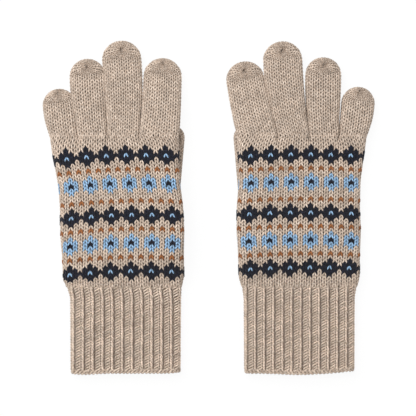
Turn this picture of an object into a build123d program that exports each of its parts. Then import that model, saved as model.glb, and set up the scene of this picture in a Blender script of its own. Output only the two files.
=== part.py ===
from build123d import *
import math
import os

# A pair of knitted gloves lying palm down, fingers to +Y, each thumb folded under its palm.
# Millimetres. Each glove is worked out in its own frame: the origin lies on the table under the
# middle of the cuff's opening, +Y runs to the fingers and +X to the thumb. The left glove is placed
# as it is and the right one is its mirror image with its own way of lying.

# ---- fabric and clearances ----
WALL = 1.8                  # plain knitted fabric
RIB_WALL = 1.8              # ribbed fabric
FLOAT_THICK = 0.8           # strands carried behind the pattern
SEAT = 0.3                  # room between pieces of different bodies
INNER_SEAT = 0.2            # room between a strand or yarn end and the fabric that holds it
FINGER_ROOM = 1.2           # room between neighbouring fingers

# ---- cuff ----
CUFF_LENGTH = 68.0
CUFF_WIDTH = 86.5
CUFF_THICK = 11.0
RIBS = 24                   # raised ribs round the cuff
RIB_DEPTH = 1.0
STEPS_PER_RIB = 6
EDGE_LENGTH = 3.6           # cast-off edge
EDGE_ROUND = 1.0

# ---- hand ----
HAND_LENGTH = 118.0         # wrist line to finger forks
HAND_THICK = 12.5
WRIST_WIDTH = 89.0
HEEL_WIDTH = 95.0
HEEL_RISE = 24.0            # how far above the wrist the heel of the hand lies
PALM_WIDTH = 97.0
PALM_RISE = 64.0
WEB = 3.0                   # closed fabric between the fingers
FORK_RUN_ON = 8.0           # how far the hand is drawn past the forks before its roots are cut

# ---- fingers: length from fork to tip, width at the root, widest width ----
FINGERS = {
    "index_finger": (59.5, 31.0, 29.6),
    "middle_finger": (74.0, 24.9, 30.0),
    "ring_finger": (61.0, 23.2, 27.0),
    "little_finger": (38.5, 22.6, 25.0),
}
FINGER_THICK = 11.5
ROOT_RUN = 18.0             # how far a finger keeps the tilt of the hand
GATHER_RADIUS = 0.8
LANDING = 0.85              # share of a finger's length at which it lies on the table

# ---- rounded tips: how far round its curve a tip is gathered shut, and the steps on the way ----
TIP_END = 72.0
TIP_STEPS = (0.45, 0.72, 0.9, 1.0)

# ---- thumb ----
THUMB_LENGTH = 58.0
THUMB_WIDTH = 29.0
THUMB_THICK = 7.6
THUMB_WALL = 1.6
THUMB_SHOWS = 2.4           # how far it stands out past the edge of the hand
THUMB_TIP_ROOM = 1.2        # from the thumb's tip to the fork line
THUMB_MOUTH = 14.0          # length of the slanted mouth and of the slit above it
SLIT_WIDTH = 17.0

# ---- pattern: from the fork line down, one repeat of the bands ----
COURSE = 2.7                # height of one row of stitches
REPEAT_COURSES = 17
TOP_BAND = 15.0             # fork line to the middle of the top navy band
NAVY_COURSES = 5
BLUE_COURSES = 5

# ---- how the pair lies ----
PAIR_SPACING = 135.5        # between the middles of the two cuffs

# Sideways place of the middle of the hand at wrist, heel, palm and forks, then for each finger its
# lean towards the thumb in degrees and how far it bows sideways.
LIES = {
    "left": {
        "shift": (-1.0, -2.5, -4.0, -8.8),
        "index_finger": (2.2, 0.6),
        "middle_finger": (-1.8, 1.0),
        "ring_finger": (-4.8, -1.0),
        "little_finger": (-8.6, -2.0),
    },
    "right": {
        "shift": (0.0, 0.0, 0.0, -2.0),
        "index_finger": (10.4, 1.4),
        "middle_finger": (4.8, 2.0),
        "ring_finger": (-1.0, 0.2),
        "little_finger": (-7.6, -1.2),
    },
}

HAND_FRONT = CUFF_LENGTH + HAND_LENGTH
FORK_WIDTH = sum(widths[1] for widths in FINGERS.values())


def stadium(width, thick, x, y, z, tilt=0.0, turn=0.0):
    """An upright slot-shaped section, rolled by tilt and facing turn degrees from +Y towards +X."""
    across = Vector(1, 0, 0).rotate(Axis.Y, -tilt).rotate(Axis.Z, -turn)
    facing = Vector(0, 1, 0).rotate(Axis.Z, -turn)
    return Plane(origin=(x, y, z), x_dir=across, z_dir=facing) * SlotOverall(width, thick)


def tube(sections_at):
    """A straight-sided loft through sections given from end to end."""
    return loft(sections_at, ruled=True)


# ---- the hand's shape ----

def hand_station(lie, rise):
    """Width, sideways place and roll of the hand at a rise above the wrist line."""
    rises = (0.0, HEEL_RISE, PALM_RISE, HAND_LENGTH)
    widths = (WRIST_WIDTH, HEEL_WIDTH, PALM_WIDTH, FORK_WIDTH)
    rise = max(rise, 0.0)
    last = len(rises) - 2
    span = next((i for i in range(last) if rise <= rises[i + 1]), last)
    share = (rise - rises[span]) / (rises[span + 1] - rises[span])
    width = widths[span] + share * (widths[span + 1] - widths[span])
    shift = lie["shift"][span] + share * (lie["shift"][span + 1] - lie["shift"][span])
    roll = roll_over_thumb(lie, width, shift) * min(rise / HEEL_RISE, 1.0)
    return width, shift, roll


def thumb_edge(lie):
    return lie["shift"][-1] + FORK_WIDTH / 2 + THUMB_SHOWS


def roll_over_thumb(lie, width, shift):
    """Roll that rests the palm on the folded thumb at one side and on the table at the other."""
    thumb_corner = thumb_edge(lie) - THUMB_WIDTH + THUMB_THICK / 2
    lever = width / 2 - HAND_THICK / 2 + thumb_corner - shift
    return math.degrees(math.atan2(THUMB_THICK + SEAT, lever))


def hand_section(lie, rise, inset=0.0, y=None):
    """The hand's section at a rise, shrunk by an inset on every side."""
    width, shift, roll = hand_station(lie, rise)
    side_run = (width - HAND_THICK) / 2
    z = HAND_THICK / 2 + side_run * math.sin(math.radians(roll))
    y = CUFF_LENGTH + rise if y is None else y
    return stadium(width - 2 * inset, HAND_THICK - 2 * inset, shift, y, z, roll)


def hand_height(lie, x):
    """Height of the middle of the hand's thickness at the fork line, at a sideways place."""
    width, shift, roll = hand_station(lie, HAND_LENGTH)
    middle = HAND_THICK / 2 + (width - HAND_THICK) / 2 * math.sin(math.radians(roll))
    return middle + (x - shift) * math.tan(math.radians(roll))


def hand_tube(lie, inset, low, high, over=0.0):
    """The hand's tube between two rises, with its ends run on by over."""
    rises = [low] + [r for r in (HEEL_RISE, PALM_RISE) if low < r < high] + [high]
    shape = tube([hand_section(lie, rise, inset) for rise in rises])
    if over:
        foot = [hand_section(lie, low, inset, CUFF_LENGTH + low - over), hand_section(lie, low, inset)]
        shape += tube(foot)
    return shape


# ---- fingers ----

def finger_places(lie):
    """Each finger's sideways place at the fork line, from the index finger to the little finger."""
    edge = lie["shift"][-1] + FORK_WIDTH / 2
    places = {}
    for name, (_, root, _) in FINGERS.items():
        places[name] = edge - root / 2
        edge -= root
    return places


def finger_frame(lie, name):
    """Sideways place of the root, the heading and the unit vectors along and across it."""
    x = finger_places(lie)[name]
    lean = lie[name][0]
    along = Vector(0, 1, 0).rotate(Axis.Z, -lean)
    across = Vector(1, 0, 0).rotate(Axis.Z, -lean)
    return x, lean, along, across


def finger_section(lie, name, run, width, thick, foot=0.0):
    """A finger's section at a run from its root, dropping from the hand's height to the table.

    Its lowest line ends up at a foot's height above the table."""
    x, lean, along, across = finger_frame(lie, name)
    share = run / FINGERS[name][0]
    bow = 4 * lie[name][1] * share * (1 - share)
    drop = min(max(share, 0.0) / LANDING, 1.0)
    z = hand_height(lie, x) * (1 - drop) + (foot + thick / 2) * drop
    roll = hand_station(lie, HAND_LENGTH)[2] * min(max(1 - run / ROOT_RUN, 0.0), 1.0)
    place = Vector(x, HAND_FRONT, 0) + along * run + across * bow
    return stadium(width, thick, place.X, place.Y, z, roll, lean)


def tip_stations(reach):
    """Run past the shoulder and share of the full size at each step round a rounded tip."""
    end = math.radians(TIP_END)
    return [(reach * math.sin(end * step) / math.sin(end), math.cos(end * step)) for step in TIP_STEPS]


def finger_form(lie, name, inset, start):
    """A finger's closed form: a tube that widens from its root and rounds off to its gathered tip."""
    length, root, belly = FINGERS[name]
    shoulder = length - belly / 2
    thick = FINGER_THICK - 2 * inset
    sections = []
    for share in (0.0, 0.35, 1.0):
        width = root + (belly - root) * math.sin(math.pi / 2 * share) - FINGER_ROOM - 2 * inset
        sections.append(finger_section(lie, name, max(shoulder * share, start), width, thick, inset))
    for run, size in tip_stations(belly / 2 - inset):
        sections.append(finger_section(lie, name, shoulder + run, width * size, thick * size, inset))
    return tube(sections)


def finger(lie, name):
    return finger_form(lie, name, 0.0, SEAT) - finger_form(lie, name, WALL, 0.0)


def gathered_size(reach):
    """Share of the full size where a gather lies inside a tip of a given reach."""
    turn = (reach - INNER_SEAT - GATHER_RADIUS) / reach * math.sin(math.radians(TIP_END))
    return math.cos(math.asin(turn))


def finger_tip_gather(lie, name):
    """The drawn-up yarn end inside a finger's tip."""
    length, _, belly = FINGERS[name]
    thick = (FINGER_THICK - 2 * WALL) * gathered_size(belly / 2 - WALL)
    run = length - WALL - INNER_SEAT - GATHER_RADIUS
    seat = finger_section(lie, name, run, thick + 1, thick, WALL)
    return Pos(seat.center()) * Sphere(GATHER_RADIUS)


# ---- thumb ----

def thumb_base():
    return HAND_FRONT - THUMB_TIP_ROOM - THUMB_LENGTH


def thumb_middle(lie):
    return thumb_edge(lie) - THUMB_WIDTH / 2


def thumb_form(lie, inset, start):
    """The thumb's closed form, flat on the table under the palm."""
    x = thumb_middle(lie)
    shoulder = HAND_FRONT - THUMB_TIP_ROOM - THUMB_WIDTH / 2
    width = THUMB_WIDTH - 2 * inset
    thick = THUMB_THICK - 2 * inset
    sections = [stadium(width, thick, x, y, THUMB_THICK / 2) for y in (start, shoulder)]
    for run, size in tip_stations(THUMB_WIDTH / 2 - inset):
        z = inset + thick * size / 2
        sections.append(stadium(width * size, thick * size, x, shoulder + run, z))
    return tube(sections)


def thumb_tip_gather(lie):
    """The drawn-up yarn end inside the thumb's tip."""
    thick = (THUMB_THICK - 2 * THUMB_WALL) * gathered_size(THUMB_WIDTH / 2 - THUMB_WALL)
    y = HAND_FRONT - THUMB_TIP_ROOM - THUMB_WALL - INNER_SEAT - GATHER_RADIUS
    return Pos(thumb_middle(lie), y, THUMB_WALL + thick / 2) * Sphere(GATHER_RADIUS)


def thumb_mouth(lie):
    """The wedge cut from the thumb's top so that its mouth faces the slit in the palm."""
    base = thumb_base()
    profile = Plane.YZ * Polyline(
        (base - 1, THUMB_THICK + 1),
        (base - 1, THUMB_WALL),
        (base, THUMB_WALL),
        (base + THUMB_MOUTH, THUMB_THICK + 1),
        close=True,
    )
    wedge = extrude(make_face(profile), THUMB_WIDTH / 2 + 1, both=True)
    return Pos(thumb_middle(lie), 0, 0) * wedge


def thumb(lie):
    tube_wall = thumb_form(lie, 0.0, thumb_base()) - thumb_form(lie, THUMB_WALL, thumb_base() - 1)
    return tube_wall - thumb_mouth(lie)


# ---- hand ----

def beyond_root(lie, name):
    """The space in front of a finger's root; it runs a little past its neighbours' sides."""
    x, lean, _, _ = finger_frame(lie, name)
    outer = {"index_finger": 1, "little_finger": -1}.get(name, 0)
    width = FINGERS[name][1] + 2 * FINGER_ROOM + abs(outer) * HAND_THICK
    box = Box(width, FORK_RUN_ON * 3, 4 * HAND_THICK, align=(Align.CENTER, Align.MIN, Align.CENTER))
    aside = outer * HAND_THICK / 2
    return Pos(x, HAND_FRONT, HAND_THICK) * Rot(0, 0, -lean) * Pos(aside, 0, 0) * box


def finger_opening(lie, name):
    """The way from the hand into a finger."""
    width = FINGERS[name][1] - FINGER_ROOM - 2 * WALL
    thick = FINGER_THICK - 2 * WALL
    runs = (-3 * WEB, 3 * WEB)
    ends = [finger_section(lie, name, run, width, thick, WALL) for run in runs]
    return tube(ends)


def thumb_slit(lie):
    """The slit in the palm above the thumb's mouth."""
    x = thumb_middle(lie) - THUMB_SHOWS
    slot = SlotOverall(SLIT_WIDTH, THUMB_MOUTH - WALL)
    cutter = extrude(slot, HAND_THICK + THUMB_THICK / 2 + SEAT)
    return Pos(x, thumb_base() + THUMB_MOUTH / 2, 0) * cutter


def hand(lie):
    """The hand's tube: open at the wrist, closed at the forks but for the ways into the fingers."""
    front = HAND_FRONT + FORK_RUN_ON
    body = hand_tube(lie, 0.0, 0.0, HAND_LENGTH)
    body += tube([hand_section(lie, HAND_LENGTH), hand_section(lie, HAND_LENGTH, 0.0, front)])
    body -= hand_tube(lie, WALL, 0.0, HAND_LENGTH - WEB, over=1.0)
    for name in FINGERS:
        body -= finger_opening(lie, name)
    for name in FINGERS:
        body -= beyond_root(lie, name)
    return body - thumb_slit(lie)


def band(lie, middle, courses):
    """A ring of strands inside the hand, as tall as its courses, at a distance below the forks.

    The way into the thumb stays clear of it."""
    half = courses * COURSE / 2 - INNER_SEAT
    low = HAND_LENGTH - middle - half
    high = HAND_LENGTH - middle + half
    ring = hand_tube(lie, WALL + INNER_SEAT, low, high)
    ring -= hand_tube(lie, WALL + INNER_SEAT + FLOAT_THICK, low, high, over=1.0)
    return (ring - thumb_slit(lie)).solid()


# ---- cuff ----

def wave_outline(y, inset, depth):
    """A slot-shaped outline whose edge waves in by depth between the ribs."""
    straight = CUFF_WIDTH - CUFF_THICK
    radius = CUFF_THICK / 2
    girth = 2 * straight + 2 * math.pi * radius
    points = []
    steps = RIBS * STEPS_PER_RIB
    for step in range(steps):
        run = girth * step / steps
        deep = inset + depth * (1 - math.cos(2 * math.pi * step / STEPS_PER_RIB)) / 2
        points.append(on_slot(run, straight, radius, deep))
    outline = [Vector(x, y, CUFF_THICK / 2 + z) for x, z in points]
    return make_face(Polyline(*outline, close=True))


def on_slot(run, straight, radius, deep):
    """The point a run round a slot from the middle of its foot, moved inwards by deep."""
    half = straight / 2
    bend = math.pi * radius
    if run <= half:
        return run, -radius + deep
    if run <= half + bend:
        angle = (run - half) / radius - math.pi / 2
        return half + (radius - deep) * math.cos(angle), (radius - deep) * math.sin(angle)
    if run <= half + bend + straight:
        return half - (run - half - bend), radius - deep
    if run <= half + 2 * bend + straight:
        angle = (run - half - bend - straight) / radius + math.pi / 2
        return -half + (radius - deep) * math.cos(angle), (radius - deep) * math.sin(angle)
    return run - (2 * straight + 2 * bend), -radius + deep


def cuff_rib():
    """The ribbed tube: ribs stand out on both faces, and each lies in the other face's furrow."""
    length = CUFF_LENGTH - EDGE_LENGTH - SEAT
    outside = extrude(wave_outline(EDGE_LENGTH, 0.0, RIB_DEPTH), length, dir=(0, 1, 0))
    inside = extrude(wave_outline(EDGE_LENGTH, RIB_WALL, RIB_DEPTH), length, dir=(0, 1, 0))
    return outside - inside


def cuff_edge():
    """The cast-off edge: a plain ring that holds the ribs' ends, rounded at its mouth."""
    middle = CUFF_THICK / 2
    ring = extrude(stadium(CUFF_WIDTH, CUFF_THICK, 0, 0, middle), EDGE_LENGTH, dir=(0, 1, 0))
    ring = fillet(ring.edges().group_by(Axis.Y)[0], EDGE_ROUND)
    depth = RIB_WALL + RIB_DEPTH
    bore = stadium(CUFF_WIDTH - 2 * depth, CUFF_THICK - 2 * depth, 0, -1, middle)
    return ring - extrude(bore, EDGE_LENGTH + 2, dir=(0, 1, 0))


# ---- one glove, then the pair ----

def glove(lie):
    repeat = REPEAT_COURSES * COURSE
    repeats = int((HAND_LENGTH - TOP_BAND - NAVY_COURSES * COURSE / 2) // repeat)
    navy = [TOP_BAND + repeat * i for i in range(repeats + 1)]
    blue = [TOP_BAND + repeat * (i + 0.5) for i in range(repeats)]
    brown = [(a + b) / 2 for a, b in zip(sorted(navy + blue), sorted(navy + blue)[1:])]
    pieces = {
        "cuff_edge": cuff_edge(),
        "cuff_rib": cuff_rib(),
        "hand": hand(lie),
        "thumb": thumb(lie),
        "thumb_tip_gather": thumb_tip_gather(lie),
        "navy_floats": Compound([band(lie, middle, NAVY_COURSES) for middle in navy]),
        "blue_floats": Compound([band(lie, middle, BLUE_COURSES) for middle in blue]),
        "brown_floats": Compound([band(lie, middle, 1) for middle in brown]),
    }
    for name in FINGERS:
        pieces[name] = finger(lie, name)
        pieces[name.replace("finger", "tip_gather")] = finger_tip_gather(lie, name)
    return pieces


def side_placed(side, piece):
    """A piece of one glove in its place in the pair; the right glove is mirrored."""
    if side == "right":
        return Pos(PAIR_SPACING / 2, 0, 0) * mirror(piece, about=Plane.YZ)
    return Pos(-PAIR_SPACING / 2, 0, 0) * piece


def pair():
    """Every piece of both gloves, around the middle of the ground that the pair covers."""
    pieces = {}
    for side, lie in LIES.items():
        for name, piece in glove(lie).items():
            pieces[f"{side}_{name}"] = side_placed(side, piece)
    box = Compound(list(pieces.values())).bounding_box()
    middle = Pos(-box.center().X, -box.center().Y, 0)
    return middle, {name: middle * piece for name, piece in pieces.items()}


os.makedirs("parts", exist_ok=True)
PAIR_MIDDLE, PIECES = pair()
for name, piece in PIECES.items():
    export_step(piece, f"parts/{name}.step")
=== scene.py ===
"""Knitted gloves, dressed stitch by stitch: plain knitting with bands of flowers and dots, ribbed
cuffs with a cast-off edge, and fingers drawn shut at their tips.

Each part of a glove is a skin, which is a stack of rings of points, and its knitting is one stitch
of yarn arrayed into a flat panel and laid on that skin. Panels run from the fingertips to the cuff.
"""

import math

import bmesh
import bpy
import numpy as np
from mathutils import Matrix, Vector


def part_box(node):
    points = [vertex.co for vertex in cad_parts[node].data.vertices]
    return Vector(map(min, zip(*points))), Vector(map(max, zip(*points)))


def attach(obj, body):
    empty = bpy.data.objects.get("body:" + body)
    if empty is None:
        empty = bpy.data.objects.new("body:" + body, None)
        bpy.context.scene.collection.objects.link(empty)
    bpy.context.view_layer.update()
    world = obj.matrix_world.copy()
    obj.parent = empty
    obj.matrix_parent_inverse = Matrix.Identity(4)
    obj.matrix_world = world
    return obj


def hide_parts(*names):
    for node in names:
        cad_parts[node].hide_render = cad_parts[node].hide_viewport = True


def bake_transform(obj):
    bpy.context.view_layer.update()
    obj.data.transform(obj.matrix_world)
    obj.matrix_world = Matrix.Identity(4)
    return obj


bl_info = {
    "name": "Knitted Gloves",
    "version": (1, 0, 0),
    "blender": (4, 5, 0),
    "location": "3D View > Sidebar > Gloves",
    "description": "Dresses a pair of glove forms in yarn, stitch by stitch, and lights them",
    "category": "Object",
}

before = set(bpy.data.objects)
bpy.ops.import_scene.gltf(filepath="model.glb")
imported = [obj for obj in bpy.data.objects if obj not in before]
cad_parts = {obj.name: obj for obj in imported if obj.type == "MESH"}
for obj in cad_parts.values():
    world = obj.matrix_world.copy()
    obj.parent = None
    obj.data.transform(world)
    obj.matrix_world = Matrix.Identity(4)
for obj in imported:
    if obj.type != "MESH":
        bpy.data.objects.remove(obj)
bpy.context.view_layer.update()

MM = 0.001
SIDES = ("left", "right")
FINGERS = ("index", "middle", "ring", "little")
AROUND = 144                # points in each ring of a skin
TURN_STEPS = 12             # steps round a corner of an outline, and round a turn of rope
SEED = 11


# ---- sizes and colours that a user may change ----

def length(name, description, millimetres):
    """A length property, given in millimetres."""
    return bpy.props.FloatProperty(
        name=name, description=description, default=millimetres * MM, unit="LENGTH", precision=5
    )


def colour(name, description, red, green, blue):
    """A colour property. Its parts are given as they show on a screen, from 0 to 255."""
    linear = [((part / 255 + 0.055) / 1.055) ** 2.4 for part in (red, green, blue)]
    return bpy.props.FloatVectorProperty(
        name=name, description=description, default=linear, subtype="COLOR", min=0.0, max=1.0
    )


class YarnSettings(bpy.types.PropertyGroup):
    """The yarn's sizes, its loops and its colours."""

    thickness: length("Yarn thickness", "Width of the yarn across both plies", 1.75)
    finger_thickness: length("Yarn thickness in the fingers", "Width of the yarn in the fingers", 1.45)
    rib_thickness: length("Yarn thickness in the ribs", "Width of the yarn where it is pulled tight", 1.2)
    course: length("Course", "Height of one row of stitches", 2.7)
    rib_course: length("Rib course", "Height of one row of stitches in the cuff", 2.05)
    reach: bpy.props.FloatProperty(
        name="Loop reach", description="Half a loop's height as a share of a course", default=0.96
    )
    lean: bpy.props.FloatProperty(
        name="Loop lean", description="How far a loop's legs swing, as a share of a wale", default=0.235
    )
    depth: length("Loop depth", "How far the legs stand in front of the middle", 0.6)
    wander: bpy.props.FloatProperty(
        name="Wander", description="Unevenness of the stitches as a share of a stitch", default=0.0175
    )
    oatmeal: colour("Oatmeal", "Main wool", 196, 177, 160)
    oatmeal_dark: colour("Oatmeal fleck, dark", "Grey-brown fibres in the main wool", 168, 146, 128)
    oatmeal_light: colour("Oatmeal fleck, light", "Pale fibres in the main wool", 222, 206, 191)
    navy: colour("Navy", "Flowers and the hearts of the blue flowers", 15, 16, 26)
    blue: colour("Light blue", "Flowers and the hearts of the navy flowers", 136, 168, 198)
    brown: colour("Tan brown", "Dots between the flower bands", 134, 84, 48)
    # Shade: painted shade, the wool between the stitches coloured darker than the yarn itself.
    shade: colour("Shade", "Wool seen deep between the stitches", 96, 78, 64)
    # Furrow: painted shade, the wool in the furrows between the ribs coloured darker than the yarn itself.
    furrow: colour("Furrow", "Between the ribs", 132, 113, 98)


class GloveSettings(bpy.types.PropertyGroup):
    """How many stitches the gloves have and how thick they lie."""

    hand_wales: bpy.props.IntProperty(
        name="Hand wales", description="Stitches round the hand, a multiple of 4", default=52
    )
    rib_wales: bpy.props.IntProperty(
        name="Rib wales", description="Stitches round the cuff, an even number", default=48
    )
    hand_thick: length("Hand thickness", "Both layers of the hand together", 12.5)
    drawn_in: length("Drawn in at the wrist", "How much thinner the hand is at the ribbing", 1.3)
    finger_thick: length("Finger thickness", "A finger's height away from the hand", 11.5)
    thumb_thick: length("Thumb thickness", "Height of the folded thumb", 7.6)
    crown: bpy.props.FloatProperty(
        name="Crown", description="How much thinner a tube is at its sides", default=0.12
    )


class StageSettings(bpy.types.PropertyGroup):
    """The camera and the light."""

    distance: length("Camera height", "How far above the table the camera hangs", 1440)
    lens: bpy.props.FloatProperty(
        name="Lens", description="Focal length", default=159.0, unit="CAMERA"
    )
    key: bpy.props.FloatProperty(
        name="Key light", description="Power of the large soft lamp", default=20.5, unit="POWER"
    )
    sky: bpy.props.FloatProperty(
        name="Sky", description="Strength of the even light from all round", default=0.62
    )


# ---- the gloves' forms, in each glove's own frame: cuff's mouth at y 0, +x to the thumb ----

YARN_INSET = 1.0 * MM       # from the fabric's outside to the middle of its yarn
LINING_INSET = 2.0 * MM
SEAT = 0.3 * MM             # room between the palm and the thumb under it

HAND_FRONT = 186.0 * MM     # mouth of the cuff to the finger forks
WRIST = 68.0 * MM           # mouth of the cuff to the ribbing's end
FORK_WIDTH = 101.7 * MM
WRIST_TAPER = 16.0 * MM     # how far above the wrist the hand starts to be drawn in
ROLL_RUN = 30.0 * MM        # how far above the wrist the hand is tilted by the thumb in full
HAND_CROWN_RUN = 30.0 * MM  # how far below the forks the hand has its full crown
STILL_COURSES = 4           # courses at each end of the hand over which its sag fades out
CREASE_WIDTH = 1.8 * MM
CREASE_DEPTH = 3.4 * MM
CREASE_FULL = 0.1           # share of a crease's length over which it has its full depth

# Millimetres above the wrist with the hand's width there, and those at which its shift is given.
HAND_WIDTHS = ((0, 90.4), (8, 94.2), (26, 95.6), (45, 97.6), (64, 96.7), (82, 95.6), (99, 98.0), (118, 101.7))
SHIFT_RISES = (0, 24, 64, 118)

# Root width and widest width of each finger, then the stitches round it.
FINGER_SIZES = {"index": (31.0, 30.2), "middle": (24.9, 31.0), "ring": (23.2, 28.4), "little": (22.6, 26.0)}
FINGER_WALES = {"index": 18, "middle": 18, "ring": 16, "little": 15}
SLOT_ROUND = 2.2 * MM       # corners of a finger's root beside its neighbour
LANDING = 0.85              # share of a finger's length at which it lies on the table
TUCKED = 0.45               # share of a course by which a finger starts inside the hand
TUCKED_INSET = 0.2 * MM     # how much smaller it is there, and over which run
TUCKED_RUN = 2.0 * MM
OVAL_FROM = 0.45            # share of the way to the shoulder from which a finger turns oval
LEAST_CAP_COURSES = 5
FINGER_CLOSED, THUMB_CLOSED = 87, 86    # degrees of a quarter turn at which a rounded tip ends
# How far past the forks a finger is rounded, on its own heading, thin, level and crowned.
ROUND_RUN, HEADING_RUN, THIN_RUN, LEVEL_RUN, CROWN_RUN = (run * MM for run in (12, 14, 16, 18, 20))

THUMB_SHOWS = 2.4 * MM      # from the hand's edge at the forks to the line that the thumb swings about
PALM_REST = 25.2 * MM       # from that line to where the palm rests on the thumb
THUMB_WIDTH = 29.0 * MM
THUMB_TIP = HAND_FRONT + 9.0 * MM
THUMB_CAP = 11.0 * MM       # length of the rounded tip
THUMB_BASE = HAND_FRONT - 59.2 * MM
THUMB_TAPER = 11.0 * MM     # how far from its base the thumb has its full thickness
THUMB_LEAN = math.radians(5)
THUMB_WALES = 17
THUMB_CAP_COURSES = 6
THUMB_MOUTH = 0.15          # share of its thickness that the thumb has at its base
THUMB_LIFT = 0.8 * MM       # how far the base stands above the table for that

WEB_COURSES, WEB_WALES = 10, 11
WEB_START = 1.5 * MM        # from the thumb's base
WEB_WIDTHS = 17.0 * MM, 8.0 * MM
WEB_THICK = 4.6 * MM
WEB_EDGE = 2.0 * MM         # in from the hand's edge
WEB_HEIGHT = 8.2 * MM
WEB_ROLL = 0.22
WEB_LINING_INSET = 1.6 * MM

CUFF_TUCK = 2.6 * MM        # how far the ribs run up inside the hand
RIBS_END = 3.0 * MM         # from the mouth
CUFF_TAPER = 0.9 * MM       # how much wider the cuff is at the wrist than at its mouth
CUFF_FLARE = 3.2 * MM       # how much it then widens to the hand, and over which run
FLARE_RUN = 13.0 * MM
DROOP_RUN = 20.0 * MM       # how far from the mouth the cuff's slack reaches
FURROW_INSET = 0.2 * MM     # the cuff's lining below the other linings
LIP_INSET = 1.5 * MM        # the cast-off edge inside its node's width
LIP_RINGS = 4.0 * MM, 0.4 * MM      # its two rings from the mouth
LIP_YARN = 1.65 * MM

# How each glove lies, in millimetres and degrees.
#   shift: sideways places of the hand at wrist, heel, palm and forks
#   a finger: lean towards the thumb, sideways bow, how far back its tip is drawn shut, length
#   thumb: its outer edge
#   hand_courses: rows of stitches in the hand
#   bands: how far below the forks the first and the last flowers' hearts lie
#   front: width of the wales in front and their slip to the thumb, at each band of flowers
#   sag: how far the courses sag, and where across the hand they don't
#   slack: places across the cuff's mouth that droop, how wide and how far
#   crease: how far the creases between the fingers run into the hand
#   ribs: width of the ribs in front and their slip to the thumb
LIES = {
    "left": {
        "shift": (-1.4, -2.0, -3.2, -8.8),
        "index": (2.2, 0.6, 40, 60.3),
        "middle": (-2.6, 1.4, 55, 74.0),
        "ring": (-4.3, -1.2, 55, 60.0),
        "little": (-6.6, -0.8, 40, 36.6),
        "thumb": 45.9,
        "hand_courses": 43,
        "bands": (15.9, 105.3),
        "front": ((3.90, 0.9), (3.82, 1.4), (3.97, 1.0), (4.03, -0.1), (3.97, -1.7)),
        "sag": (2.4, 0.35),
        "slack": ((-32, 12, 0.9), (44, 7, -0.9)),
        "crease": 8.0,
        "ribs": (7.64, -1.3),
    },
    "right": {
        "shift": (0.0, 0.3, 0.9, -2.0),
        "index": (10.6, 0.9, 58, 58.7),
        "middle": (6.0, 2.2, 58, 74.0),
        "ring": (-0.5, 0.6, 55, 61.0),
        "little": (-7.1, -1.2, 40, 38.2),
        "thumb": 51.3,
        "hand_courses": 44,
        "bands": (15.3, 102.6),
        "front": ((3.93, 1.3), (3.93, -0.3), (4.00, -0.5), (4.03, 0.0), (3.85, 0.2)),
        "sag": (1.6, -0.1),
        "slack": ((1, 18, 1.1), (-42, 13, -1.6)),
        "crease": 9.5,
        "ribs": (7.10, -2.0),
    },
}

# The bands from the fingers down, four wales wide: o oatmeal, n navy, b blue, r brown.
NAVY_FLOWERS = ("oono", "onnn", "nnbn", "onnn", "oono")
BLUE_FLOWERS = ("oobo", "obbb", "obnb", "obbb", "oobo")
DOTS = ("oooo", "roro", "oooo")
BANDS = (NAVY_FLOWERS + DOTS + BLUE_FLOWERS + ("oooo",) + DOTS
         + NAVY_FLOWERS + DOTS + BLUE_FLOWERS + DOTS + NAVY_FLOWERS)
BAND_ROWS = (0, 8, 17, 25, 33)          # first course of each band of flowers
HALF_FLOWER = len(NAVY_FLOWERS) / 2     # courses from a flower's top to its heart
PLAIN_COURSES = 3                       # between the forks and the first band


def ease(share):
    """A smooth step from 0 to 1."""
    share = np.clip(share, 0.0, 1.0)
    return share * share * (3 - 2 * share)


def even_loop(points, count=AROUND):
    """The same closed outline with evenly spaced points; the first one stays."""
    closed = np.vstack([points, points[:1]])
    runs = np.r_[0, np.cumsum(np.linalg.norm(np.diff(closed, axis=0), axis=1))]
    wanted = np.arange(count) / count * runs[-1]
    return np.column_stack([np.interp(wanted, runs, closed[:, axis]) for axis in (0, 1)])


def flat_outline(width, thick, little_round, thumb_round, crown):
    """x and z round a flattened tube, from the middle of its top towards the thumb."""
    points = [(0.0, thick / 2)]
    corners = ((1, 1, thumb_round), (1, -1, thumb_round), (-1, -1, little_round), (-1, 1, little_round))
    for turn, (sideways, upward, radius) in enumerate(corners):
        middle = sideways * (width / 2 - radius), upward * (thick / 2 - radius)
        for step in range(TURN_STEPS + 1):
            angle = math.pi / 2 * (1 - turn - step / TURN_STEPS)
            points.append((middle[0] + radius * math.cos(angle), middle[1] + radius * math.sin(angle)))
    outline = even_loop(np.array(points), 4 * AROUND)
    outline[:, 1] *= 1 - crown * np.abs(2 * outline[:, 0] / width) ** 3
    return even_loop(outline)


def tube_outline(width, thick, inset, crown=0.0):
    """x and z round a flattened tube with half-round sides, inside its outer width and thickness."""
    side = thick / 2 - inset
    return flat_outline(width - 2 * inset, thick - 2 * inset, side, side, crown)


def oval(width, thick):
    """x and z round an oval, from the middle of its top towards the thumb."""
    turn = np.linspace(0, 2 * math.pi, 8 * AROUND, endpoint=False)
    return even_loop(np.column_stack([width / 2 * np.sin(turn), thick / 2 * np.cos(turn)]))


def rolled(outline, x, y, z, roll):
    """An outline stood up across the glove at a place, its thumb side lifted by roll."""
    cos, sin = math.cos(roll), math.sin(roll)
    across, up = outline[:, 0], outline[:, 1]
    along = np.full(len(outline), y)
    return np.column_stack([x + across * cos - up * sin, along, z + across * sin + up * cos])


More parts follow.
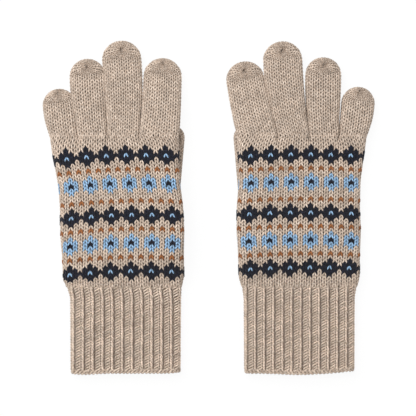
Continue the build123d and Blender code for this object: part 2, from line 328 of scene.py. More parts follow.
class Skin:
    """A tube's surface as rings of evenly spaced points, one ring for each course and one more."""

    def __init__(self, rings):
        self.rings = np.array(rings)
        around = (np.roll(self.rings, -1, axis=1) - np.roll(self.rings, 1, axis=1)) / 2
        along = np.gradient(self.rings, axis=0)
        normals = np.cross(around, along)
        outward = self.rings - self.rings.mean(axis=1, keepdims=True)
        self.turn = 1.0 if np.sum(normals * outward) > 0 else -1.0      # -1 where they point inwards
        lengths = np.linalg.norm(normals, axis=2, keepdims=True)
        self.normals = self.turn * normals / np.maximum(lengths, 1e-12)

    def at(self, turns, courses, height):
        """Points some turns round, some courses along and a height above the surface."""
        column = (turns % 1.0) * AROUND
        left = np.floor(column).astype(int) % AROUND
        right = (left + 1) % AROUND
        row = np.clip(courses, 0, len(self.rings) - 1)
        low = np.minimum(np.floor(row).astype(int), len(self.rings) - 2)
        beyond = (courses - row)[:, None]
        across = (column - np.floor(column))[:, None]
        ahead = (row - low)[:, None]

        def blended(field):
            near = field[low, left] * (1 - across) + field[low, right] * across
            far = field[low + 1, left] * (1 - across) + field[low + 1, right] * across
            return near * (1 - ahead) + far * ahead, far - near

        place, step = blended(self.rings)
        normal, _ = blended(self.normals)
        normal /= np.maximum(np.linalg.norm(normal, axis=1, keepdims=True), 1e-9)
        return place + step * beyond + normal * height[:, None]


def hand_station(lie, rise):
    """Width, sideways place and roll of the hand at a rise above the wrist line."""
    settings = bpy.context.scene.glove
    rises, widths = np.array(HAND_WIDTHS).T * MM
    width = np.interp(rise, rises, widths)
    shift = np.interp(rise, np.array(SHIFT_RISES) * MM, np.array(lie["shift"]) * MM)
    lever = width / 2 - settings.hand_thick / 2 + thumb_edge(lie) - PALM_REST - shift
    roll = math.atan2(settings.thumb_thick + SEAT, lever) * ease(rise / ROLL_RUN)
    return width, shift, roll


def fork_edge(lie):
    """Sideways place of the hand's thumb side at the forks."""
    return lie["shift"][-1] * MM + FORK_WIDTH / 2


def thumb_edge(lie):
    """Sideways place of the line that the thumb swings about."""
    return fork_edge(lie) + THUMB_SHOWS


def finger_places(lie):
    """Sideways place of each finger's root, and those of the creases between them."""
    edge = fork_edge(lie)
    places, creases = {}, []
    for name in FINGERS:
        root = FINGER_SIZES[name][0] * MM
        places[name] = edge - root / 2
        edge -= root
        creases.append(edge)
    return places, creases[:-1]


def hand_height(lie, x):
    """Height of the middle of the hand at the fork line, at a sideways place."""
    width, shift, roll = hand_station(lie, HAND_FRONT - WRIST)
    thick = bpy.context.scene.glove.hand_thick
    return thick / 2 + (width - thick) / 2 * math.sin(roll) + (x - shift) * math.tan(roll)


def hand_skin(lie, inset):
    """The hand from the finger forks to the ribbing, dented a little where the fingers part."""
    settings = bpy.context.scene.glove
    courses = lie["hand_courses"]
    full = HAND_FRONT - WRIST
    first, last = (place * MM for place in lie["bands"])
    hearts = PLAIN_COURSES + HALF_FLOWER, PLAIN_COURSES + len(BANDS) - HALF_FLOWER
    sag, middle = lie["sag"]
    _, creases = finger_places(lie)
    rings = []
    for course in range(courses + 1):
        below = np.interp(course, [0, *hearts, courses], [0, first, last, full])
        width, shift, roll = hand_station(lie, full - below)
        thick = settings.hand_thick - settings.drawn_in * ease(1 - (full - below) / WRIST_TAPER)
        outline = tube_outline(width, thick, inset, settings.crown * ease(below / HAND_CROWN_RUN))
        z = thick / 2 + (width - thick) / 2 * math.sin(roll)
        ring = rolled(outline, shift, HAND_FRONT - below, z, roll)
        side = 2 * (ring[:, 0] - shift) / width
        free = ease(course / STILL_COURSES) * ease((courses - course) / STILL_COURSES)
        ring[:, 1] -= sag * MM * free * (side - middle) ** 2
        fading = ease(1 + CREASE_FULL - below / (lie["crease"] * MM))
        for crease in creases:
            near = np.exp(-((ring[:, 0] - crease) / CREASE_WIDTH) ** 2) * fading
            ring[:, 2] -= np.sign(outline[:, 1]) * CREASE_DEPTH * near
        rings.append(ring)
    return Skin(rings)


def finger_skin(lie, name, inset):
    """A finger from its drawn-up tip to its root, which is tucked a little into the hand."""
    settings = bpy.context.scene.glove
    root, belly = (size * MM for size in FINGER_SIZES[name])
    lean, bow, drawn, long = lie[name]
    lean, bow, drawn, long = math.radians(lean), bow * MM, math.radians(drawn), long * MM
    x = finger_places(lie)[0][name]
    shoulder = long - belly / 2
    root_roll = hand_station(lie, HAND_FRONT - WRIST)[2]
    course = bpy.context.scene.yarn.course

    def turned(local, heading):
        """Points turned from straight ahead to a heading towards the thumb."""
        cos, sin = math.cos(heading), math.sin(heading)
        across, ahead = local[:, 0], local[:, 1]
        return np.column_stack([across * cos + ahead * sin, -across * sin + ahead * cos, local[:, 2]])

    def centre(run):
        share = run / long
        aside = 4 * bow * share * (1 - share)
        drop = np.clip(share / LANDING, 0, 1)
        drop = 0.5 * (drop + ease(drop))
        return np.array([
            x + run * math.sin(lean) + aside * math.cos(lean),
            HAND_FRONT + run * math.cos(lean) - aside * math.sin(lean),
            hand_height(lie, x) * (1 - drop) + section_thick(run) / 2 * drop,
        ])

    def section_thick(run):
        excess = settings.hand_thick - settings.finger_thick
        return settings.finger_thick + excess * ease(1 - run / THIN_RUN)

    def section_outline(run):
        under = inset + TUCKED_INSET * ease(-run / TUCKED_RUN)
        bulge = math.sin(math.pi / 2 * min(max(run / shoulder, 0), 1))
        width = root + (belly - root) * bulge - 2 * under
        thick = section_thick(run) - 2 * under
        inner = SLOT_ROUND + (thick / 2 - SLOT_ROUND) * ease(run / ROUND_RUN)
        little = thick / 2 if name == "little" else inner
        thumb = thick / 2 if name == "index" else inner
        slot = flat_outline(width, thick, little, thumb, settings.crown * ease(run / CROWN_RUN))
        return slot + (oval(width, thick) - slot) * ease((run / shoulder - OVAL_FROM) / (1 - OVAL_FROM))

    rings = []
    tucked = TUCKED * course
    tube_courses = round((shoulder + tucked) / course)
    for step in range(tube_courses + 1):
        run = (shoulder + tucked) * step / tube_courses - tucked
        roll = root_roll * max(1 - run / LEVEL_RUN, 0)
        ring = rolled(section_outline(run), 0, 0, 0, roll)
        rings.append(turned(ring, lean * ease(run / HEADING_RUN)) + centre(run))
    outline = section_outline(shoulder)
    half_width, half_thick = belly / 2 - inset, section_thick(shoulder) / 2 - inset
    side, up = outline[:, 0] / half_width, outline[:, 1] / half_thick
    cap_courses = max(round(half_width * math.pi / 2 / course), LEAST_CAP_COURSES)
    heart = centre(shoulder)
    for step in range(1, cap_courses + 1):
        turn = math.radians(90 - FINGER_CLOSED * step / cap_courses)
        back = drawn * ease(math.cos(turn))
        sideways = side * math.sin(turn)
        forward = math.cos(turn) * math.cos(back) - up * math.sin(turn) * math.sin(back)
        upward = up * math.sin(turn) * math.cos(back) + math.cos(turn) * math.sin(back)
        local = np.column_stack([sideways * half_width, forward * half_width, upward * half_thick])
        rings.append(turned(local, lean) + heart)
    return Skin(rings[::-1])


def thumb_skin(lie, inset):
    """The thumb lying flat under the palm, from its drawn-up tip to its mouth."""
    thick = bpy.context.scene.glove.thumb_thick
    shoulder = THUMB_TIP - THUMB_CAP
    outline = tube_outline(THUMB_WIDTH, thick, inset)

    def ring(y, size):
        """A ring at a place along the thumb, which leans outwards to its tip and starts from the palm."""
        x = lie["thumb"] * MM - THUMB_WIDTH / 2 + (y - shoulder) * math.tan(THUMB_LEAN)
        full = THUMB_MOUTH + (1 - THUMB_MOUTH) * ease((y - THUMB_BASE) / THUMB_TAPER)
        z = thick - inset - (thick / 2 - inset) * full + THUMB_LIFT * (1 - full)
        return rolled(outline * np.array([1, full]) * size, x, y, z, 0)

    straight = shoulder - THUMB_BASE
    courses = round(straight / bpy.context.scene.yarn.course)
    rings = [ring(THUMB_BASE + straight * step / courses, 1) for step in range(courses + 1)]
    for step in range(1, THUMB_CAP_COURSES + 1):
        turn = math.radians(90 - THUMB_CLOSED * step / THUMB_CAP_COURSES)
        rings.append(ring(shoulder + (THUMB_CAP - inset) * math.cos(turn), math.sin(turn)))
    return Skin(rings[::-1])


def web_skin(lie, inset):
    """The web that joins the root of the thumb to the edge of the palm."""
    rings = []
    wide, narrow = WEB_WIDTHS
    for step in range(WEB_COURSES + 1):
        y = THUMB_BASE + WEB_START + step * bpy.context.scene.yarn.course
        hand_width, shift, _ = hand_station(lie, y - WRIST)
        width = wide + (narrow - wide) * ease(step / WEB_COURSES)
        x = shift + hand_width / 2 - WEB_EDGE - width / 2
        rings.append(rolled(tube_outline(width, WEB_THICK, inset), x, y, WEB_HEIGHT, WEB_ROLL))
    return Skin(rings)


def drooped(lie, ring, share):
    """A ring near the cuff's mouth, let down where the yarn is slack."""
    for place, wide, drop in lie["slack"]:
        near = np.exp(-((ring[:, 0] - place * MM) / (wide * MM)) ** 2)
        ring[:, 1] -= ease(share) * drop * MM * near
    return ring


def cuff_skin(lie, inset):
    """The ribbed cuff from the wrist, where it is as wide as the hand, to its mouth."""
    low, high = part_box("left_cuff_rib")
    width, thick = high[0] - low[0], high[2] - low[2]
    top = WRIST + CUFF_TUCK
    run = top - RIBS_END
    courses = round(run / bpy.context.scene.yarn.rib_course)
    rings = []
    for step in range(courses + 1):
        y = top - run * step / courses
        near = ease((y - top + FLARE_RUN) / FLARE_RUN)
        flare = CUFF_TAPER * y / top + CUFF_FLARE * near
        outline = tube_outline(width + flare, thick, inset)
        ring = rolled(outline, lie["shift"][0] * MM * near, y, thick / 2, 0)
        rings.append(drooped(lie, ring, 1 - y / DROOP_RUN))
    return Skin(rings)


def lip_skin(side, inset):
    """A narrow band round the cuff's mouth."""
    low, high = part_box(f"{side}_cuff_edge")
    width, thick = high[0] - low[0], high[2] - low[2]
    outline = tube_outline(width, thick, inset)
    return Skin([drooped(LIES[side], rolled(outline, 0, y, thick / 2, 0), 1) for y in LIP_RINGS])


def in_pair(side, points):
    """Points of one glove's own frame in the pair's frame. The right glove is mirrored."""
    low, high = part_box(f"{side}_cuff_edge")
    middle = (low[0] + high[0]) / 2
    facing = 1 if side == "left" else -1
    return np.column_stack([middle + facing * points[:, 0], low[1] + points[:, 1], points[:, 2]])


# ---- yarn ----

LOOP_STEPS = 10             # straight pieces in a plain loop
ROPE_WIDE, ROPE_HIGH = 0.36, 0.5 * MM   # half a rope's width in courses, half its height
# SOFT_LIGHT is the least painted light left by the painted shade in the first of the softened courses.
FLAT_START = 0.3            # share of its height that the first of the flatter courses has
SOFT_LIGHT = 0.7            # least light in the first of the softened courses
BAKE_MARGIN = 0.04          # of a stitch's own square in the second map

# Painted shade and painted highlight: heights in millimetres at which the yarn's colour is painted dark and
# light, then the least and the most of that painted light.
PLAIN_SHADES = (-0.15, 1.1, 0, 1)
HAND_SHADES = (0.2, 1.06, 0, 1.25)
BLUE_SHADES = (0.48, 1.02, 0, 1.3)
RIB_SHADES = (-0.55, 0.43, 0.5, 1.28)
EDGE_SHADES = (-1.6, 0.8, 0.3, 1)

# Courses whose hollows get lighter painted shade, at a piece's first and last ends.
HAND_SOFT, FINGER_SOFT, THUMB_SOFT = (0, 1), (7, 0), (6, 0)
RIB_FLAT_COURSES = 3

# Each yarn of the hands: word, finish, slot, and how full it is as a share of the yarn's thickness.
HAND_YARNS = {
    "o": ("plain", "oatmeal wool", "beige_wool", 0.85),
    "n": ("navy", "navy wool", "navy_wool", 1.18),
    "b": ("blue", "blue wool", "blue_wool", 0.89),
    "r": ("brown", "brown wool", "brown_wool", 1.14),
}


def plain_loop():
    """The line of one knitted loop as (wale, course, height), legs in front, from edge to edge."""
    yarn = bpy.context.scene.yarn
    points = []
    for step in range(LOOP_STEPS + 1):
        turn = math.pi * (2 * step / LOOP_STEPS - 1)
        points.append((
            turn / (2 * math.pi) + yarn.lean * math.sin(2 * turn),
            yarn.reach * math.cos(turn),
            -yarn.depth * math.cos(2 * turn),
        ))
    return points


def rib_loops(turned=False):
    """A rib's line as (rib, course, height): a loop twisted to one side, then down into the furrow.

    turned mirrors it, for the glove that is mirrored as a whole.
    """
    deep, back, crest = -1.5 * MM, -0.8 * MM, 0.5 * MM
    points = [
        (0.0, -0.8, deep), (0.05, -0.95, 1.6 * back), (0.28, -1.0, back), (0.54, -0.86, 0.2 * back),
        (0.6, -0.5, crest), (0.45, -0.17, crest), (0.28, 0.17, 0.8 * crest), (0.13, 0.5, 0.0),
        (0.09, 0.84, 0.8 * back), (0.5, 0.97, back), (0.88, 0.9, back), (0.91, 0.6, 0.0),
        (0.85, 0.1, 0.9 * crest), (0.73, -0.5, crest), (0.76, -0.86, 0.3 * back), (0.9, -1.0, back),
        (1.0, -0.8, deep),
    ]
    if turned:
        points = [(1 - across, along, height) for across, along, height in reversed(points)]
    return points


def rope():
    """One turn of a strand that crosses two wales, for an edge that is cast off."""
    points = []
    for step in range(TURN_STEPS + 1):
        turn = 2 * math.pi * step / TURN_STEPS
        points.append((turn / math.pi - 0.5, ROPE_WIDE * math.cos(turn), ROPE_HIGH * math.sin(turn)))
    return points


def stitch_mesh(line, wale, course, thickness):
    """One loop as a tube of yarn, in metres, for stitches of this width and height."""
    curve = bpy.data.curves.new("stitch", "CURVE")
    curve.dimensions = "3D"
    curve.bevel_depth = thickness / 2
    curve.bevel_resolution = 1
    spline = curve.splines.new("POLY")
    points = line()
    spline.points.add(len(points) - 1)
    for point, (across, along, height) in zip(spline.points, points):
        point.co = (across * wale, along * course, height, 1)
    holder = bpy.data.objects.new("stitch", curve)
    mesh = bpy.data.meshes.new_from_object(holder)
    bpy.data.objects.remove(holder)
    bpy.data.curves.remove(curve)
    return mesh


def panel_mesh(line, wales, courses, wale, course, thickness):
    """A flat panel of stitches, made with one array across and one along."""
    stitch = stitch_mesh(line, wale, course, thickness)
    holder = bpy.data.objects.new("panel", stitch)
    bpy.context.scene.collection.objects.link(holder)
    for count, step in ((wales, (wale, 0, 0)), (courses, (0, course, 0))):
        array = holder.modifiers.new("array", "ARRAY")
        array.use_relative_offset = False
        array.use_constant_offset = True
        array.constant_offset_displace = step
        array.count = count
    bpy.context.view_layer.update()
    mesh = bpy.data.meshes.new_from_object(holder.evaluated_get(bpy.context.evaluated_depsgraph_get()))
    per_stitch = len(stitch.vertices)
    bpy.data.objects.remove(holder)
    return mesh, per_stitch


def stitch_size(skin, wales):
    """Width and height of a stitch in the half of a skin that is nearer the cuff."""
    half = skin.rings[len(skin.rings) // 2 - 1:]
    wale = np.linalg.norm(np.diff(half[0], axis=0), axis=1).sum() / wales
    course = np.linalg.norm(np.diff(half.mean(axis=1), axis=0), axis=1).mean()
    return wale, course


def note(mesh, name, values):
    """Keeps a number for each point of a mesh, for its finish to read."""
    layer = mesh.attributes.new(name, "FLOAT", "POINT")
    layer.data.foreach_set("value", values.astype(np.float32))


def cut_out(mesh, stays, inside_out):
    """Leaves only the points that stay, with smooth faces that point outwards."""
    work = bmesh.new()
    work.from_mesh(mesh)
    gone = [vertex for vertex, kept in zip(work.verts, stays) if not kept]
    if gone:
        bmesh.ops.delete(work, geom=gone, context="VERTS")
    if inside_out:
        bmesh.ops.reverse_faces(work, faces=work.faces)
    for face in work.faces:
        face.smooth = True
    work.to_mesh(mesh)
    work.free()


def knitting(name, side, skin, wales, thickness, line=plain_loop, kept=None, shaped=None,
             shades=PLAIN_SHADES, flat_courses=0, soft=(0, 0)):
    """A piece of knitting laid on a skin, with so many wales round it.

    kept says which (wale, course) stitches it has and shaped moves the yarn round the skin. The first
    flat_courses rise less than the rest, and soft gives how many courses at the two ends have
    lighter painted shade in their hollows. shades sets the painted shade and painted highlight by height.
    """
    rows = len(skin.rings) - 1
    wale, course = stitch_size(skin, wales)
    mesh, per_stitch = panel_mesh(line, wales, rows, wale, course, thickness)
    flat = np.empty(len(mesh.vertices) * 3)
    mesh.vertices.foreach_get("co", flat)
    flat = flat.reshape(-1, 3)
    stitch = np.arange(len(flat)) // per_stitch
    dice = np.random.default_rng(SEED + sum(map(ord, name)))
    shift = dice.normal(0, bpy.context.scene.yarn.wander, (wales * rows, 2))[stitch]
    across = flat[:, 0] / wale + shift[:, 0]
    along = flat[:, 1] / course + 0.5 + shift[:, 1]
    height = flat[:, 2]
    if flat_courses:
        height *= ease(FLAT_START + (1 - FLAT_START) * along / flat_courses)
    if shaped is not None:
        across = shaped(across, along)
    points = in_pair(side, skin.at(across / wales, along, height))
    mesh.vertices.foreach_set("co", points.astype(np.float32).ravel())
    keep = np.array([kept is None or kept(i % wales, i // wales) for i in range(wales * rows)])
    note(mesh, "tone", dice.random(wales * rows)[stitch])
    # The yarn's colour is painted by height: painted shade where it lies low between the stitches, painted
    # highlight where it stands high.
    dark, light, least, most = shades
    share = (height / MM - dark) / (light - dark)
    for run, courses in ((along, soft[0]), (rows - along, soft[1])):
        if courses:
            least = np.maximum(least, SOFT_LIGHT * ease(1 - run / courses))
    note(mesh, "painted_shade", np.clip(share, least, most))
    cut_out(mesh, keep[stitch], (skin.turn > 0) != (side == "left"))
    mesh.name = name
    bake_map(mesh, int(keep.sum()))
    return linked(name, mesh)


def spread(skin, wales, courses, fronts):
    """Shapes knitting so that the wales in front have a width of their own and slip to one side.

    fronts gives both, in millimetres, for each of the courses. The wales at the back take up the rest.
    """
    girths = np.linalg.norm(np.diff(skin.rings, axis=1, append=skin.rings[:, :1]), axis=2).sum(axis=1)

    def shaped(across, along):
        girth = np.interp(along, range(len(girths)), girths)
        front = np.interp(along, courses, [wide * MM for wide, _ in fronts])
        slip = np.interp(along, courses, [slip * MM for _, slip in fronts])
        turn = (across + wales / 2) % wales - wales / 2
        size = np.abs(turn)
        back = 2 * girth / wales - front
        run = np.minimum(size, wales / 4) * front + np.maximum(size - wales / 4, 0) * back
        return (np.sign(turn) * run + slip) / girth * wales

    return shaped


def bake_map(mesh, stitches):
    """A second map that gives each stitch its own square."""
    if not stitches:
        return
    own = mesh.uv_layers[0]
    own.name = "yarn"
    loops = len(mesh.loops)
    strip = np.empty(loops * 2)
    own.data.foreach_get("uv", strip)
    strip = strip.reshape(-1, 2)
    cells = math.ceil(math.sqrt(stitches))
    cell = np.arange(loops) // (loops // stitches)
    corner = np.column_stack([cell % cells, cell // cells])
    layer = mesh.uv_layers.new(name="OFBake")
    inside = BAKE_MARGIN + (1 - 2 * BAKE_MARGIN) * (strip % 1.0001)     # the strip's own end stays 1
    layer.data.foreach_set("uv", ((corner + inside) / cells).ravel())


def linked(name, mesh):
    """A new object with this mesh, in the scene."""
    obj = bpy.data.objects.new(name, mesh)
    bpy.context.scene.collection.objects.link(obj)
    return obj


def lining(name, side, skin):
    """A smooth tube just under the stitches. Its dark wool is painted shade, which darkens the gaps between
    them.
    """
    work = bmesh.new()
    rings = []
    for ring in skin.rings:
        rings.append([work.verts.new(point) for point in in_pair(side, ring)])
    edges = []
    for ring in rings:
        edges.append([work.edges.new((ring[i], ring[(i + 1) % AROUND])) for i in range(AROUND)])
    for one, two in zip(edges, edges[1:]):
        bmesh.ops.bridge_loops(work, edges=one + two)
    bmesh.ops.recalc_face_normals(work, faces=work.faces)
    for face in work.faces:
        face.smooth = True
    mesh = bpy.data.meshes.new(name)
    work.to_mesh(mesh)
    work.free()
    return linked(name, mesh)


# ---- finishes ----

TONE_RANGE = 0.16           # how much lighter or darker a stitch of flecked wool may be


def node(nodes, kind, inputs, **settings):
    """A new node with the values of its inputs and its other settings."""
    made = nodes.new(kind)
    for name, value in settings.items():
        setattr(made, name, value)
    for name, value in inputs.items():
        made.inputs[name].default_value = value
    return made


def new_finish(name, inputs):
    """A new material with its nodes, its links and its shader."""
    material = bpy.data.materials.new(name)
    material.use_nodes = True
    nodes, links = material.node_tree.nodes, material.node_tree.links
    shader = nodes["Principled BSDF"]
    for socket, value in inputs.items():
        shader.inputs[socket].default_value = value
    return material, nodes, links, shader


def fibres(nodes, links, inputs, stops):
    """Fine noise on object coordinates, and its colours as a ramp with these stops."""
    place = node(nodes, "ShaderNodeTexCoord", {})
    fine = node(nodes, "ShaderNodeTexNoise", inputs)
    ramp = node(nodes, "ShaderNodeValToRGB", {})
    elements = ramp.color_ramp.elements
    elements[0].position, elements[1].position = stops[0][0], stops[-1][0]
    for position, _ in stops[1:-1]:
        elements.new(position)
    for element, (_, tint) in zip(elements, stops):
        element.color = (*tint, 1)
    links.new(place.outputs["Object"], fine.inputs["Vector"])
    links.new(fine.outputs["Fac"], ramp.inputs["Fac"])
    return fine.outputs["Fac"], ramp.outputs["Color"]


def raised(nodes, links, shader, height, inputs):
    """Small bumps on a finish."""
    bump = node(nodes, "ShaderNodeBump", inputs)
    links.new(height, bump.inputs["Height"])
    links.new(bump.outputs["Normal"], shader.inputs["Normal"])


def wool(name, main, dark, light, fleck, hollow_shade):
    """Wool yarn: flecked colour, twisted plies, a soft sheen, and painted shade and highlight by height; the
    last argument is the colour's share left in the deepest painted shade.
    """
    material, nodes, links, shader = new_finish(name, {
        "Roughness": 0.9, "Specular IOR Level": 0.2, "Sheen Weight": 0.1, "Sheen Roughness": 0.6,
    })
    stops = ((0.34, dark), (0.5, main), (0.68, light))
    _, flecks = fibres(nodes, links, {"Scale": 1000, "Detail": 3}, stops)
    tone = node(nodes, "ShaderNodeAttribute", {}, attribute_name="tone")
    swing = TONE_RANGE * fleck
    uneven = node(nodes, "ShaderNodeMapRange", {"To Min": 1 - swing, "To Max": 1 + swing})
    links.new(tone.outputs["Fac"], uneven.inputs["Value"])
    # Painted shade and painted highlight, stored on the points by height, scale the colour.
    painted_shade = node(nodes, "ShaderNodeAttribute", {}, attribute_name="painted_shade")
    shade_range = node(nodes, "ShaderNodeMapRange", {"To Min": hollow_shade, "To Max": 1.0}, clamp=False)
    links.new(painted_shade.outputs["Fac"], shade_range.inputs["Value"])
    both = node(nodes, "ShaderNodeMath", {}, operation="MULTIPLY")
    links.new(uneven.outputs["Result"], both.inputs[0])
    links.new(shade_range.outputs["Result"], both.inputs[1])
    shaded = node(nodes, "ShaderNodeVectorMath", {}, operation="SCALE")
    links.new(flecks, shaded.inputs[0])
    links.new(both.outputs["Value"], shaded.inputs["Scale"])
    links.new(shaded.outputs["Vector"], shader.inputs["Base Color"])
    strip = node(nodes, "ShaderNodeUVMap", {}, uv_map="yarn")
    twist = {"Scale": 3.2, "Distortion": 1.0}
    plies = node(nodes, "ShaderNodeTexWave", twist, bands_direction="DIAGONAL")
    links.new(strip.outputs["UV"], plies.inputs["Vector"])
    raised(nodes, links, shader, plies.outputs["Fac"], {"Distance": 0.25 * MM, "Strength": 0.6})
    return material


def shade_wool(name, main):
    """Wool seen between the stitches, coloured darker than the yarn itself as painted shade."""
    material, nodes, links, shader = new_finish(name, {"Roughness": 1.0, "Specular IOR Level": 0.1})
    stops = ((0.3, [0.7 * part for part in main]), (0.7, [1.3 * part for part in main]))
    height, flecks = fibres(nodes, links, {"Scale": 900}, stops)
    links.new(flecks, shader.inputs["Base Color"])
    raised(nodes, links, shader, height, {"Distance": 0.3 * MM})
    return material


def finish(name):
    """The finish of that name, made the first time it is asked for."""
    found = bpy.data.materials.get(name)
    if found:
        return found
    yarn = bpy.context.scene.yarn
    if name == "oatmeal wool":
        return wool(name, yarn.oatmeal, yarn.oatmeal_dark, yarn.oatmeal_light, 1.0, 0.2)
    if name == "deep shade wool":
        return shade_wool(name, yarn.shade)
    if name == "furrow shade wool":
        return shade_wool(name, yarn.furrow)
    dyed = {
        "navy wool": (yarn.navy, 3.0, 0.05),
        "blue wool": (yarn.blue, 1.4, 0.04),
        "brown wool": (yarn.brown, 1.5, 0.2),
    }
    tint, gleam, hollow_shade = dyed[name]
    dark, light = [0.6 * part for part in tint], [min(gleam * part, 1) for part in tint]
    return wool(name, tint, dark, light, 0.5, hollow_shade)


def dressed(obj, material):
    """Gives an object its one finish."""
    obj.data.materials.clear()
    obj.data.materials.append(finish(material))


# ---- operators ----

def stitch_code(wale, course):
    """The yarn of a stitch of the hand, counted from the forks and from the middle of the back."""
    course -= PLAIN_COURSES
    return BANDS[course][wale % 4] if 0 <= course < len(BANDS) else "o"


class GLOVES_OT_hands(bpy.types.Operator):
    """Knit both hands with their flower bands"""

    bl_idname = "gloves.hands"
    bl_label = "Knit the Hands"

    def execute(self, context):
        wales = context.scene.glove.hand_wales
        hearts = [PLAIN_COURSES + HALF_FLOWER + row for row in BAND_ROWS]
        for side in SIDES:
            lie = LIES[side]
            skin = hand_skin(lie, YARN_INSET)
            shaped = spread(skin, wales, hearts, lie["front"])
            for code, (word, material, slot, fullness) in HAND_YARNS.items():
                piece = knitting(
                    f"{side}_{word}_stitches", side, skin, wales, context.scene.yarn.thickness * fullness,
                    kept=lambda wale, course: stitch_code(wale, course) == code, shaped=shaped,
                    shades=BLUE_SHADES if code == "b" else HAND_SHADES, soft=HAND_SOFT,
                )
                dressed(piece, material)
                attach(piece, f"{side}_hand")
                if code == "o":
                    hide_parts(f"{side}_hand")
                else:
                    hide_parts(f"{side}_{word}_floats")
            inner = lining(f"{side}_hand_lining", side, hand_skin(lie, LINING_INSET))
            dressed(inner, "deep shade wool")
            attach(inner, f"{side}_hand")
        return {"FINISHED"}


class GLOVES_OT_fingers(bpy.types.Operator):
    """Knit the four fingers of both gloves"""

    bl_idname = "gloves.fingers"
    bl_label = "Knit the Fingers"

    def execute(self, context):
        thickness = context.scene.yarn.finger_thickness
        for side in SIDES:
            lie = LIES[side]
            places, _ = finger_places(lie)
            for name in FINGERS:
                skin = finger_skin(lie, name, YARN_INSET)
                piece = knitting(f"{side}_{name}_stitches", side, skin, FINGER_WALES[name], thickness,
                                 soft=FINGER_SOFT)
                dressed(piece, "oatmeal wool")
                inner = lining(f"{side}_{name}_lining", side, finger_skin(lie, name, LINING_INSET))
                dressed(inner, "deep shade wool")
                for obj in (piece, inner):
                    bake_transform(obj)
                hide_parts(f"{side}_{name}_finger", f"{side}_{name}_tip_gather")
        return {"FINISHED"}


class GLOVES_OT_thumbs(bpy.types.Operator):
    """Knit the thumbs that lie under the palms"""

    bl_idname = "gloves.thumbs"
    bl_label = "Knit the Thumbs"

    def execute(self, context):
        thickness = context.scene.yarn.finger_thickness
        for side in SIDES:
            lie = LIES[side]
            piece = knitting(f"{side}_thumb_stitches", side, thumb_skin(lie, YARN_INSET), THUMB_WALES,
                             thickness, soft=THUMB_SOFT)
            dressed(piece, "oatmeal wool")
            inner = lining(f"{side}_thumb_lining", side, thumb_skin(lie, LINING_INSET))
            dressed(inner, "deep shade wool")
            for obj in (piece, inner):
                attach(obj, f"{side}_thumb")
            web = knitting(f"{side}_web_stitches", side, web_skin(lie, YARN_INSET), WEB_WALES, thickness)
            dressed(web, "oatmeal wool")
            under = lining(f"{side}_web_lining", side, web_skin(lie, WEB_LINING_INSET))
            dressed(under, "deep shade wool")
            for obj in (web, under):
                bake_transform(obj)
            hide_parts(f"{side}_thumb", f"{side}_thumb_tip_gather")
        return {"FINISHED"}


class GLOVES_OT_cuffs(bpy.types.Operator):
    """Knit the ribbed cuffs and cast off their edges"""

    bl_idname = "gloves.cuffs"
    bl_label = "Knit the Cuffs"

    def execute(self, context):
        wales = context.scene.glove.rib_wales
        ribs = wales // 2
        for side in SIDES:
            lie = LIES[side]
            skin = cuff_skin(lie, YARN_INSET)
            piece = knitting(f"{side}_rib_stitches", side, skin, ribs, context.scene.yarn.rib_thickness,
                             line=lambda: rib_loops(side == "right"), shades=RIB_SHADES,
                             shaped=spread(skin, ribs, [0], [lie["ribs"]]), flat_courses=RIB_FLAT_COURSES)
            dressed(piece, "oatmeal wool")
            # The cuff's lining is dressed in painted shade.
            inner = lining(f"{side}_cuff_lining", side, cuff_skin(lie, LINING_INSET + FURROW_INSET))
            dressed(inner, "furrow shade wool")
            edge = knitting(f"{side}_cast_off", side, lip_skin(side, LIP_INSET), wales + wales // 4, LIP_YARN,
                            line=rope, shades=EDGE_SHADES)
            dressed(edge, "oatmeal wool")
            for obj in (piece, inner):
                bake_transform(obj)
            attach(edge, f"{side}_cuff")
            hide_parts(f"{side}_cuff_rib")
            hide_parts(f"{side}_cuff_edge")
        return {"FINISHED"}


TABLE_SIZE = 3.0
TABLE_TOP = -0.5 * MM       # a little below the gloves, so that nothing shares its plane
CAMERA_PLACE = 0.4 * MM, -0.8 * MM
KEY_PLACE = Vector((-0.5, 0.6, 1.2))
KEY_SIZE = 1.1
FLOOR_GLOW = 0.93           # share of its own even light that the camera sees on the table


class GLOVES_OT_stage(bpy.types.Operator):
    """Set the pale floor, the soft lamps and the camera"""

    bl_idname = "gloves.stage"
    bl_label = "Set the Stage"

    def execute(self, context):
        scene, stage = context.scene, context.scene.stage
        work = bmesh.new()
        table = Matrix.Translation((0, 0, TABLE_TOP))
        bmesh.ops.create_grid(work, x_segments=1, y_segments=1, size=TABLE_SIZE, matrix=table)
        mesh = bpy.data.meshes.new("floor")
        work.to_mesh(mesh)
        work.free()
        floor = linked("floor", mesh)
        floor.data.materials.append(pale_floor())

        camera = bpy.data.cameras.new("camera")
        camera.lens = stage.lens
        holder = bpy.data.objects.new("camera", camera)
        holder.location = (*CAMERA_PLACE, stage.distance)
        scene.collection.objects.link(holder)
        scene.camera = holder

        lamp = bpy.data.lights.new("key", "AREA")
        lamp.energy, lamp.size = stage.key, KEY_SIZE
        key = bpy.data.objects.new("key", lamp)
        key.location = KEY_PLACE
        key.rotation_euler = (-KEY_PLACE).to_track_quat("-Z", "Y").to_euler()
        scene.collection.objects.link(key)

        world = bpy.data.worlds.new("studio")
        world.use_nodes = True
        sky = world.node_tree.nodes["Background"]
        sky.inputs["Color"].default_value = (1, 1, 1, 1)
        sky.inputs["Strength"].default_value = stage.sky
        scene.world = world
        scene.view_settings.view_transform = "Standard"
        return {"FINISHED"}


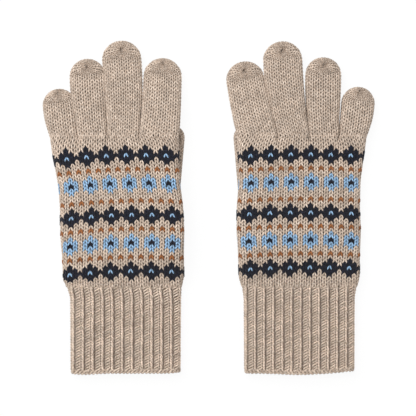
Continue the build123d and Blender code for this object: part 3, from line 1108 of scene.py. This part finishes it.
def pale_floor():
    """A matt white table that the camera sees nearly pure white, with a faint shadow."""
    matt = {"Base Color": (0.9, 0.9, 0.9, 1), "Roughness": 0.9}
    material, nodes, links, shader = new_finish("pale floor", matt)
    glow = node(nodes, "ShaderNodeEmission", {"Strength": 1.0})
    ray = node(nodes, "ShaderNodeLightPath", {})
    amount = node(nodes, "ShaderNodeMath", {1: FLOOR_GLOW}, operation="MULTIPLY")
    mix = node(nodes, "ShaderNodeMixShader", {})
    links.new(ray.outputs["Is Camera Ray"], amount.inputs[0])
    links.new(amount.outputs[0], mix.inputs[0])
    links.new(shader.outputs[0], mix.inputs[1])
    links.new(glow.outputs[0], mix.inputs[2])
    links.new(mix.outputs[0], nodes["Material Output"].inputs["Surface"])
    return material


class GLOVES_PT_sidebar(bpy.types.Panel):
    """Lists the settings and the steps"""

    bl_label = "Knitted Gloves"
    bl_idname = "GLOVES_PT_sidebar"
    bl_space_type = "VIEW_3D"
    bl_region_type = "UI"
    bl_category = "Gloves"

    def draw(self, context):
        layout = self.layout
        for group in (context.scene.yarn, context.scene.glove, context.scene.stage):
            for name in group.__annotations__:
                layout.prop(group, name)
        for step in STEPS:
            layout.operator(step.bl_idname)


SETTINGS = {"yarn": YarnSettings, "glove": GloveSettings, "stage": StageSettings}
STEPS = (GLOVES_OT_hands, GLOVES_OT_fingers, GLOVES_OT_thumbs, GLOVES_OT_cuffs, GLOVES_OT_stage)
CLASSES = (*SETTINGS.values(), *STEPS, GLOVES_PT_sidebar)


def register():
    for cls in CLASSES:
        bpy.utils.register_class(cls)
    for name, cls in SETTINGS.items():
        setattr(bpy.types.Scene, name, bpy.props.PointerProperty(type=cls))


def unregister():
    for name in SETTINGS:
        delattr(bpy.types.Scene, name)
    for cls in reversed(CLASSES):
        bpy.utils.unregister_class(cls)


def main():
    """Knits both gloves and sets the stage."""
    register()
    bpy.ops.gloves.hands()
    bpy.ops.gloves.fingers()
    bpy.ops.gloves.thumbs()
    bpy.ops.gloves.cuffs()
    bpy.ops.gloves.stage()
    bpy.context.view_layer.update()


if __name__ == "__main__":
    main()
